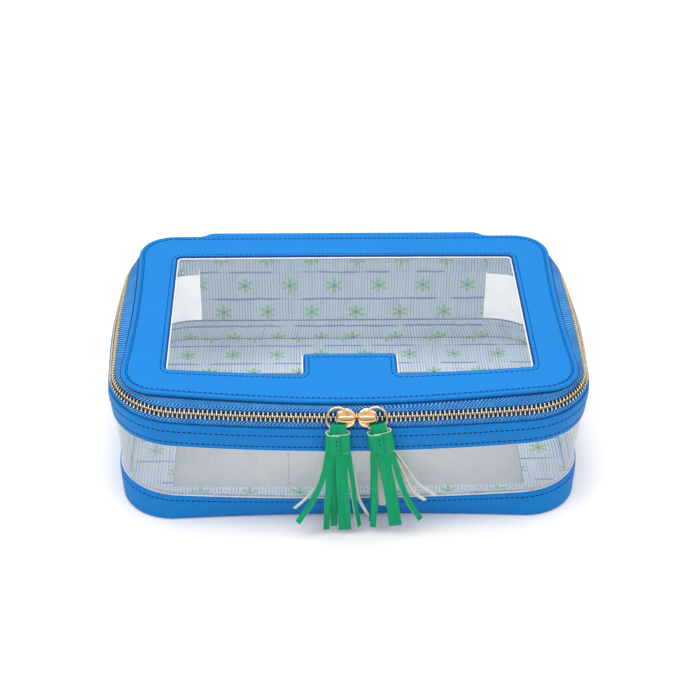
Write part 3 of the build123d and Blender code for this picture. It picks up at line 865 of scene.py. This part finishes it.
bead_loop = resample(offset_loop(window_edge, -0.45), 1.5)
dress_welt(loop_tube("lid_window_vinyl_edge", bead_loop, 97.35 + lid_rise(*bead_loop.T), 0.62), TOP)


def lid_glass(xy, outer, inner):
    x, y = xy.T
    sway = 0.35 * np.sin(x * 0.045 + 0.6) * np.sin(y * 0.06)
    return 96.95 + lid_rise(*xy.T) + sway * smooth(outer, 8, 40)


def lid_glass_under(xy):
    return lid_glass(xy, edge_distance(glass_loop, xy), None) - 0.5


glass_loop = resample(loop_of(LID, 3.2), 4.0)
dress(plate("lid_window_film", glass_loop, None, lid_glass, lid_glass_under, grid=6.0), TOP, clear, "clear_sheet",
      "lid_window")
dress_cloth(plate("lid_lining_cloth", resample(loop_of(LID, 9.4), 3.0), window_edge,
                  lambda xy, outer, inner: 96.2 + lid_rise(*xy.T), lambda xy: 95.6 + lid_rise(*xy.T),
                  inner_rows=(0.0, 3.0)), TOP, "lid_lining")


def lid_bend(grid):
    """The lid's edge follows the waist and the rise of its top."""
    x, y, z = (grid[..., k].copy() for k in range(3))
    share = smooth(z, 92.5, 96.3)
    grid[..., 0] += (waisted(x, y) - x) * share
    grid[..., 2] += lid_rise(x, y) * share
    return grid


TUBE = [(0.0, *LID[1:]), (200.0, *LID[1:])]
dress(swept("lid_piping_roll", round_profile(97.42, 1.72, 1.64), 0.0, lid_bend, stack=TUBE), TOP, blue, "blue_leather",
      "lid_piping")

upper = curve([leaning(0.03, 0.85), leaning(3.4, -0.3), leaning(4.6, -0.3), (93.5, 5.0), (94.3, 3.6), (95.2, 1.95),
               (96.0, 0.62)], 5)
tape = dress(swept("upper_zip_tape", sheet_profile(upper, TAPE), 0.0, lid_bend), TOP, [tape_cloth, tape_shade],
             "zip_tape", "upper_tape")
# The rows next to the teeth and those under the piping take the painted shade.
second_material(tape, (0, 5), (28, 31), loop=True)

# ---------------------------------------- spine and back panel, one piece of leather

spine_outer = curve([(95.2, 98.75), (96.6, 99.2), (98.4, 100.3), (100.4, 100.6), (102.8, 99.9), (105.6, 97.0),
                     (108.5, 93.0), (109.9, 89.2), (110.0, 85.0), (110.0, 63.0), (110.0, 40.0), (110.0, 18.4)], 6)


def tucked(grid):
    """The ends of the fold turn in towards the lid."""
    x, y, z = grid[..., 0], grid[..., 1], grid[..., 2]
    grid[..., 1] -= 4.0 * smooth(np.abs(x), 96, 109) * smooth(y, 98, 104) * smooth(z, 86, 97)
    return grid


across = np.sin(np.linspace(-pi / 2, pi / 2, 70)) * 108.9


def spread_across(path):
    """A (y, z) section carried across the back, its rows closer together towards both ends."""
    return np.array([[(x, y, z) for x in across] for y, z in path])


grid = spread_across(sheet_profile(spine_outer, -1.5))
ends = smooth(np.abs(grid[..., 0]), 96, 109) * np.clip((grid[..., 2] - 98.2) / 3, 0, 1)
grid[..., 2] -= 2.9 * ends
spine = tube_grid("spine_and_back_leather", tucked(grid))
dress(spine, None, blue, "blue_leather", "lid_spine", "back_panel")
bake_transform(spine)

for name, x in (("left", -105.6), ("right", 105.6)):
    rise = np.linspace(21, 84, 64)
    stitches(f"back_panel_{name}_stitching", np.c_[np.full(64, x), np.full(64, 109.95), rise],
             np.tile([0.0, 1.0, 0.0], (64, 1)), SHELL, thread_blue, closed=False)
seam = np.linspace(-105, 105, 180)
drop = 2.9 * smooth(np.abs(seam), 96, 109) * 0.5
stitches("spine_stitching", np.c_[seam, np.full(180, 97.5), 99.72 - drop], np.tile([0.0, -0.5, 0.86], (180, 1)), TOP,
         thread_blue, closed=False)

back = spread_across([(108.3, 18.5), (108.3, 53.0), (108.3, 88.3), (107.6, 88.3), (107.6, 53.0), (107.6, 18.5)])
dress_cloth(tube_grid("back_lining_cloth", back), SHELL, "back_lining")
slope = spread_across([(101.6, 97.0), (105.0, 93.2), (107.9, 89.4), (107.3, 89.0), (104.5, 92.7), (101.1, 96.5)])
dress_cloth(tube_grid("spine_lining_cloth", tucked(slope)), TOP, "spine_lining")

# ---------------------------------------- sliders, rings and tassels

for node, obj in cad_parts.items():
    if node.startswith(("slider_", "ring_", "zip_end_stops")):
        obj.data.materials.clear()
        obj.data.materials.append(gold)

# Plate of a slider: share of its outline, height over the chain's middle plane
CROWN = ((0.02, 1.72), (0.97, 1.72), (1.0, 1.95), (1.0, 2.3), (0.975, 2.65), (0.92, 2.95), (0.8, 3.22), (0.62, 3.42),
         (0.38, 3.55), (0.02, 3.6))


def slider(side, origin, run):
    """Crowned plate with its two side flanges, and the rounded bridge that holds the ring."""
    along = np.array([run[0], run[1], 0.0])
    face = np.array([0, 0, sin(LEAN)]) + np.array([0.0, -1.0, 0.0]) * cos(LEAN)
    across = np.cross(face, along)

    def placed(x, y, h):
        return np.array(origin) + sum(np.multiply.outer(k, axis) for k, axis in ((x, along), (y, across), (h, face)))

    turn = np.linspace(2 * pi, 0, 73)[:-1]
    circles = ((-0.05, 0.0, 6.35), (4.0, 2.2, 2.4), (4.0, -2.2, 2.4))
    reach = np.array([cx * np.cos(turn) + cy * np.sin(turn) + r for cx, cy, r in circles]).argmax(0)
    cx, cy, r = np.array(circles)[reach].T
    x, y = cx + r * np.cos(turn), cy + r * np.sin(turn)
    plate_grid = np.array([placed(x * k, y * k, np.full(len(x), h)) for k, h in CROWN])
    dress_gold(tube_grid(f"slider_{side}_plate", plate_grid, False, True), f"{side}_slider", f"slider_{side}")
    up = np.sign(across[2])
    for name, keep in (("upper", up * y > 3.6), ("lower", up * y < -3.6)):
        fx, fy = x[keep][::-1], y[keep][::-1]
        rows = [placed(fx * k, fy * k, np.full(len(fx), h))
                for k, h in ((1.0, 1.9), (1.0, 0.45), (0.88, 0.45), (0.88, 1.9))]
        dress_gold(tube_grid(f"slider_{side}_{name}_flange", np.array(rows)), f"{side}_slider")
    path = curve([(-5.3, 2.7), (-5.45, 4.6), (-4.9, 5.8), (-3.4, 6.3), (0, 6.45), (3.4, 6.3), (4.9, 5.8), (5.45, 4.6),
                  (5.3, 2.7)], 6)
    step = unit(np.gradient(path, axis=0))
    wide = 2.25 - 0.5 * (path[:, 0] / 5.4) ** 2
    rows = []
    for q in np.linspace(0, 2 * pi, 17)[:-1]:
        w, d = np.sign(cos(q)) * abs(cos(q)) ** 0.65, 0.72 * np.sign(sin(q)) * abs(sin(q)) ** 0.85
        rows.append(placed(path[:, 0] - step[:, 1] * d, wide * w, path[:, 1] + step[:, 0] * d))
    dress_gold(tube_grid(f"slider_{side}_bridge", np.array(rows)), f"{side}_slider")


slider("left", (-3.70, -113.493, 88.2), (-0.999993, 0.003772))
slider("right", (9.70, -113.452, 88.2), (0.999951, 0.009888))


def leather_strip(name, body, centre, widths, thickness, facing, *nodes):
    """A strip of leather along a 3-D path, green in front and bare behind. facing gives its front at each point."""
    centre, facing = np.asarray(centre, float), np.asarray(facing, float)
    run = unit(np.gradient(centre, axis=0))
    facing = unit(facing - (facing * run).sum(1)[:, None] * run)
    side = np.cross(run, facing)
    half = np.asarray(widths, float)[:, None] / 2
    t = thickness / 2
    e = min(0.25, t * 0.7)
    shape = [(-1, e, t), (1, -e, t), (1, 0, t - e), (1, 0, e - t), (1, -e, -t), (-1, e, -t), (-1, 0, e - t),
             (-1, 0, t - e)]
    grid = np.array([centre + side * (half * s + shift) + facing * depth for s, shift, depth in shape])
    strip = dress(tube_grid(name, grid), body, [green, cream], "green_leather", *nodes)
    second_material(strip, (2, 7), (8, 9))   # the back and the two cut ends
    return strip


def spline(points, count):
    """count points at even steps along a smooth 3-D line."""
    fine = curve(points, 8)
    s = lengths(fine)
    return sample(np.linspace(0, s[-1], count), s, fine)


# Each tassel: middle of the collar's top, its tilt in degrees, and its strips. A strip has its width, the degrees
# that its face is turned at root and tip, and points down its middle.
TASSELS = {
    "left": ((-9.2, -120.64, 81.5), 0.0, (
        (3.6, -110, -125, (-15.4, -119.3, 67.0), (-18.2, -119.5, 54.5), (-21.8, -120.2, 40.0), (-28.0, -121.5, 30.5),
         (-37.3, -123.0, 21.3)),
        (3.9, -14, -38, (-15.4, -122.9, 67.0), (-17.3, -123.6, 53.0), (-21.9, -124.3, 37.0), (-27.7, -125.2, 24.8),
         (-35.3, -126.5, 11.8)),
        (4.3, -4, 6, (-13.9, -123.5, 67.0), (-14.4, -124.1, 50.0), (-15.7, -124.4, 25.4), (-16.4, -124.6, 4.3)),
        (4.6, 0, 4, (-11.2, -123.2, 67.5), (-11.2, -122.6, 46.0), (-11.4, -122.4, 25.2), (-11.3, -122.4, 5.6)),
        (4.2, 0, -3, (-8.5, -123.6, 67.0), (-8.2, -124.2, 46.0), (-7.0, -124.5, 25.3), (-6.2, -124.8, 4.1)),
        (4.2, 3, 0, (-4.9, -123.5, 67.0), (-4.5, -124.1, 46.0), (-2.9, -124.35, 25.3), (-1.9, -124.6, 4.1)),
        (3.8, 30, 44, (-2.4, -122.6, 67.0), (0.6, -123.0, 41.8), (2.3, -123.3, 25.1), (5.4, -123.6, 6.1)),
        (3.6, 120, 128, (-2.8, -119.0, 66.0), (1.2, -119.2, 48.0), (4.8, -119.6, 27.0), (11.2, -120.4, 13.0)))),
    "right": ((17.3, -120.6, 82.2), 9.9, (
        (3.6, -60, -70, (13.0, -121.6, 67.0), (13.5, -121.3, 48.0), (13.5, -121.2, 25.0), (13.0, -121.3, 8.0)),
        (4.2, -6, -10, (13.9, -123.4, 67.5), (14.9, -124.1, 49.8), (15.2, -124.4, 25.0), (14.6, -124.6, 6.0)),
        (4.8, 176, 170, (16.8, -119.4, 67.0), (18.9, -119.2, 44.0), (20.1, -119.0, 31.6), (20.7, -118.9, 20.0)),
        (4.3, 0, -4, (18.3, -123.6, 67.5), (20.9, -124.2, 50.0), (23.4, -124.5, 36.5), (27.5, -124.9, 7.2)),
        (4.3, 4, 0, (22.3, -123.5, 67.6), (24.9, -124.1, 50.0), (27.4, -124.4, 36.5), (31.5, -124.7, 7.6)),
        (4.0, 16, 38, (25.6, -122.9, 67.6), (31.2, -123.8, 45.6), (37.1, -124.4, 29.0), (45.8, -125.6, 13.0)),
        (3.6, 118, 130, (25.8, -119.8, 66.5), (31.6, -120.0, 52.5), (40.2, -120.8, 33.5), (48.7, -121.6, 26.0)),
        (3.4, 122, 135, (26.2, -118.8, 67.0), (32.4, -118.9, 57.0), (43.3, -119.6, 39.0), (55.4, -120.4, 29.0)))),
}
# Strap over the ring's wire, seen from the side: up the front, over, and down behind the wire
STRAP = ((-122.6, 76.0), (-122.4, 80.0), (-122.05, 83.4), (-122.2, 86.2), (-121.6, 87.9), (-120.85, 86.9),
         (-120.0, 85.2), (-119.3, 83.2), (-119.5, 80.0), (-119.7, 76.0))
COLLAR = 15.2
AHEAD = np.array([0.0, -1.0, 0.0])


def collar_point(turn, grow):
    """Point of the collar's squarish oval; a turn of -90 degrees is the middle of its front."""
    c, s = cos(radians(turn)), sin(radians(turn))
    return (7.1 + grow) * np.sign(c) * abs(c) ** 0.72, (2.4 + grow) * np.sign(s) * abs(s) ** 0.8


for side, (top, tilt, strips) in TASSELS.items():
    body, top, tilt = f"{side}_tassel", np.array(top), radians(tilt)
    across = np.array([cos(tilt), 0.0, sin(tilt)])
    down = np.array([sin(tilt), 0.0, -cos(tilt)])

    line = spline([(top[0] - (z - top[2]) * sin(tilt), y, z) for y, z in STRAP], 44)
    at = np.linspace(0, 1, len(line))
    width = 11.2 - 0.9 * np.exp(-(((at - 0.5) / 0.2) ** 2))
    run = np.gradient(line, axis=0)
    strap = leather_strip(f"tassel_{side}_strap", body, line, width, 1.05, np.cross(across, run),
                          f"tassel_{side}_loop")
    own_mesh(strap)

    # Collar: a strip wrapped round the head of the fringe, its end lapped over the front and stitched down.
    turns = np.linspace(-112, 273, 90)
    lap_lift = 1.1 * smooth(turns, 205, 240)
    grid = []
    for lift, drop in ((1.1, 0.3), (0.8, 0.0), (0.25, 0.0), (0.0, 0.3), (0.0, COLLAR - 0.3), (0.25, COLLAR),
                       (0.8, COLLAR), (1.1, COLLAR - 0.3), (1.16, COLLAR * 0.72), (1.0, COLLAR * 0.3)):
        row = []
        for t, step in zip(turns, lap_lift):
            x, y = collar_point(t, lift + step)
            row.append(top + across * x + np.array([0, y, 0]) + down * drop)
        grid.append(row)
    collar = tube_grid(f"tassel_{side}_collar_wrap", np.array(grid))
    dress(collar, body, [green, cream], "green_leather", f"tassel_{side}_collar")
    second_material(collar, (1, 4))
    plug = []
    for drop, share in ((1.0, 0.02), (1.0, 0.7), (1.1, 1.0), (COLLAR - 0.6, 1.0), (COLLAR - 0.4, 0.7),
                        (COLLAR - 0.4, 0.02)):
        plug.append([top + across * x * share + np.array([0, y * share, 0]) + down * drop
                     for x, y in (collar_point(t, -0.05) for t in np.linspace(-90, 270, 49)[:-1])])
    dress(tube_grid(f"tassel_{side}_core", np.array(plug), False, True), body, green, "green_leather")

    steps = np.linspace(2.2, COLLAR - 2.4, 40)
    column = np.array([top + across * (-0.9 + 0.04 * s) + AHEAD * 4.62 + down * s for s in steps])
    stitches(f"tassel_{side}_stitching", column, np.tile(AHEAD, (40, 1)), body, thread_green, 3.3, 2.5, 0.42, False,
             slot="green_leather")

    for k, (width, turn_root, turn_tip, *points) in enumerate(strips):
        line = spline(points, 28)
        turned = smooth(np.linspace(0, 1, len(line)), 0.1, 1.0)
        angle = np.radians(turn_root + (turn_tip - turn_root) * turned)
        facing = AHEAD * np.cos(angle)[:, None] + np.array([1.0, 0, 0]) * np.sin(angle)[:, None]
        leather_strip(f"tassel_{side}_strip_{k + 1}", body, line, np.full(len(line), width), 1.0, facing)
    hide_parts(f"tassel_{side}_fringe")

# ---------------------------------------- floor, light and camera

FAR = 6000.0
floor = new_mesh("studio_floor", [(-FAR, -FAR, 0), (FAR, -FAR, 0), (FAR, FAR, 0), (-FAR, FAR, 0)], [(0, 1, 2, 3)])
floor.data.materials.append(Graph("studio_paper", (0.96, 0.945, 0.925), 0.9).material)

world = bpy.data.worlds.new("studio")
bpy.context.scene.world = world
world.use_nodes = True
sky = world.node_tree
height = sky.nodes.new("ShaderNodeSeparateXYZ")
sky.links.new(sky.nodes.new("ShaderNodeTexCoord").outputs["Generated"], height.inputs[0])
shade = sky.nodes.new("ShaderNodeMapRange")
sky.links.new(height.outputs[2], shade.inputs[0])
for socket, value in enumerate((0.0, 0.95, 0.22, 1.32), 1):
    shade.inputs[socket].default_value = value
seen = sky.nodes.new("ShaderNodeMath")
seen.operation = "MAXIMUM"
sky.links.new(shade.outputs[0], seen.inputs[0])
sky.links.new(sky.nodes.new("ShaderNodeLightPath").outputs["Is Camera Ray"], seen.inputs[1])
sky.links.new(seen.outputs[0], sky.nodes["Background"].inputs["Color"])


def soft_box(name, place, aim, size, power):
    data = bpy.data.lights.new(name, "AREA")
    data.shape, data.size, data.size_y, data.energy = "RECTANGLE", size[0], size[1], power
    obj = bpy.data.objects.new(name, data)
    obj.location = place
    obj.rotation_euler = (Vector(aim) - Vector(place)).to_track_quat("-Z", "Y").to_euler()
    bpy.context.scene.collection.objects.link(obj)


soft_box("key_light", (-0.9, -0.5, 1.5), (0, 0, 0.05), (0.7, 0.7), 5)
soft_box("fill_light", (1.1, -0.8, 1.3), (0, 0, 0.05), (1.0, 1.0), 1.5)
soft_box("top_light", (0.0, 0.15, 1.7), (0, 0, 0.05), (1.4, 0.9), 10)

lens = bpy.data.cameras.new("photo_camera")
camera = bpy.data.objects.new("photo_camera", lens)
bpy.context.scene.collection.objects.link(camera)
# The camera's right, up and backward directions and its place, as fitted to the photograph
axes = ((0.99956743, -0.02767179, 0.00996077), (0.00723117, 0.55953346, 0.82877622),
        (-0.0285071, -0.82834569, 0.55949153))
place = Matrix(list(zip(*axes))).to_4x4()
place.translation = (-0.03182, -0.98780, 0.73100)
camera.matrix_world = place
lens.sensor_fit, lens.sensor_width, lens.lens = "HORIZONTAL", 36.0, 86.755
lens.clip_start, lens.clip_end = 0.02, 60.0
bpy.context.scene.camera = camera
